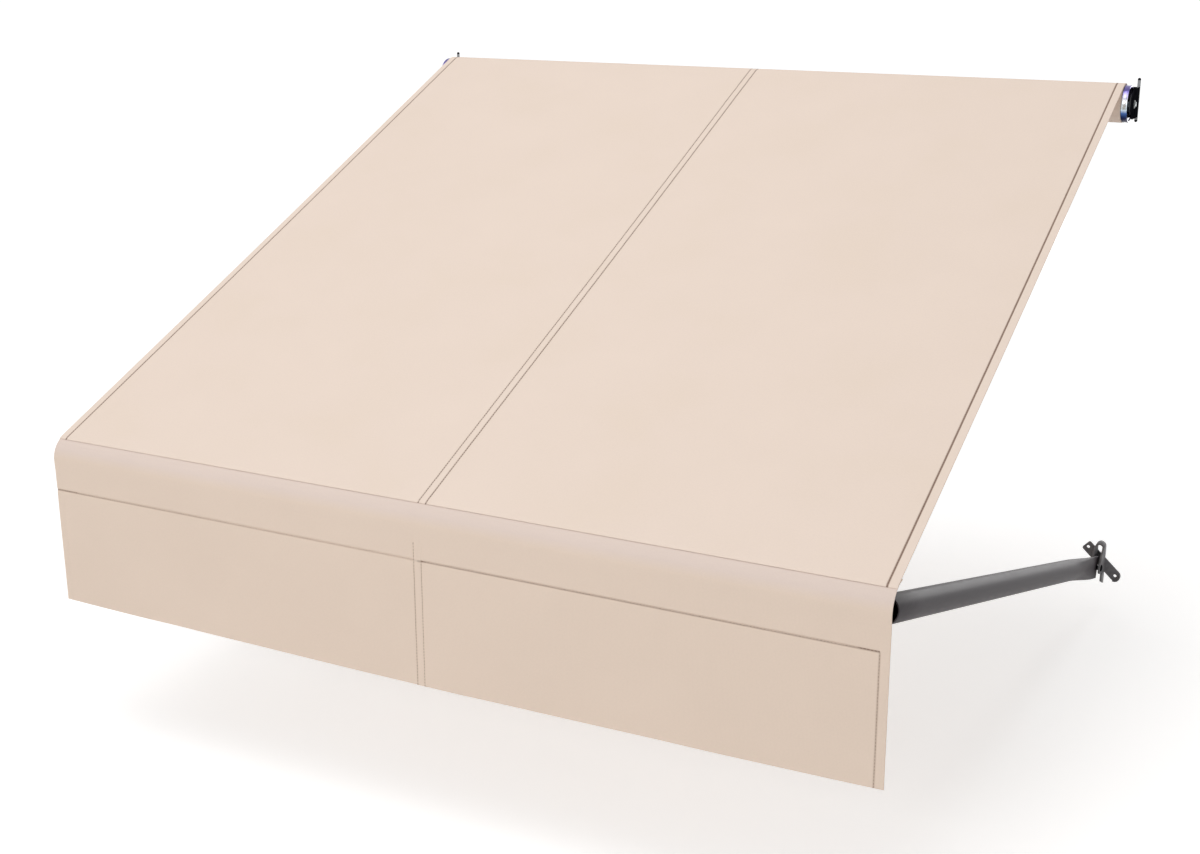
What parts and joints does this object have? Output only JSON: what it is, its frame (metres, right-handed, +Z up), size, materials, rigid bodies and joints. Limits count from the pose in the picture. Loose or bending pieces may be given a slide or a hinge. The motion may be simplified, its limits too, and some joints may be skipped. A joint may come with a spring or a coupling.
{
  "type": "roll-up awning",
  "caption": "Window awning of beige canvas on a spring roller, held out by hinged tube arms, with a bar in a stitched pocket and a straight valance.",
  "frame": {"origin": "on the wall plane, in the middle of the width, at the height of the roller's axis", "axes": "+X along the roller to the right, -Y out from the wall, +Z up"},
  "size_m": [1.3276, 1.1045, 0.8373],
  "materials": {
    "awning_canvas": "woven acrylic canvas, matte",
    "dark_grey_paint": "satin",
    "bright_plated_steel": "bright",
    "galvanised_steel": "satin zinc",
    "black_plated_steel": "satin black",
    "black_nylon": "moulded"
  },
  "bodies": {
    "fixed_frame": {"roller_bracket_left": "black_plated_steel", "roller_bracket_right": "black_plated_steel", "roller_bush_left": "black_nylon", "roller_bush_right": "black_nylon", "arm_bracket_left": "dark_grey_paint", "arm_bracket_right": "dark_grey_paint", "arm_pivot_pin_left": "black_plated_steel", "arm_pivot_pin_right": "black_plated_steel", "spring_spindle": "galvanised_steel", "torsion_spring": "galvanised_steel", "canopy_panel_left": "awning_canvas", "canopy_panel_right": "awning_canvas"},
    "roller": {"roller_tube": "galvanised_steel", "fabric_roll": "awning_canvas", "spring_anchor": "black_nylon", "roller_cap_left": "bright_plated_steel", "roller_cap_right": "bright_plated_steel"},
    "arms": {"arm_left": "dark_grey_paint", "arm_right": "dark_grey_paint"},
    "bar": {"front_bar": "galvanised_steel", "bar_pocket": "awning_canvas", "bar_plug_left": "black_nylon", "bar_plug_right": "black_nylon", "bar_pin_left": "galvanised_steel", "bar_pin_right": "galvanised_steel", "valance_panel_left": "awning_canvas", "valance_panel_right": "awning_canvas"}
  },
  "joints": [
    {"name": "arm_swing", "type": "hinge", "parent": "fixed_frame", "child": "arms", "pos_m": [0, -0.036, -0.762], "axis": [-1, 0, 0], "range_deg": [0, 66], "deforming": ["canopy_panel_left", "canopy_panel_right"]},
    {"name": "bar_level", "type": "hinge", "parent": "arms", "child": "bar", "pos_m": [0, -1.0726, -0.4554], "axis": [1, 0, 0], "range_deg": [0, 66]},
    {"name": "roller_spin", "type": "hinge", "parent": "fixed_frame", "child": "roller", "pos_m": [0, -0.04, 0], "axis": [-1, 0, 0], "range_deg": [0, 1460]}
  ],
  "couplings": [
    {"joint": "bar_level", "follows": "arm_swing", "ratio": 1},
    {"joint": "roller_spin", "follows": "arm_swing", "ratio": 22}
  ]
}
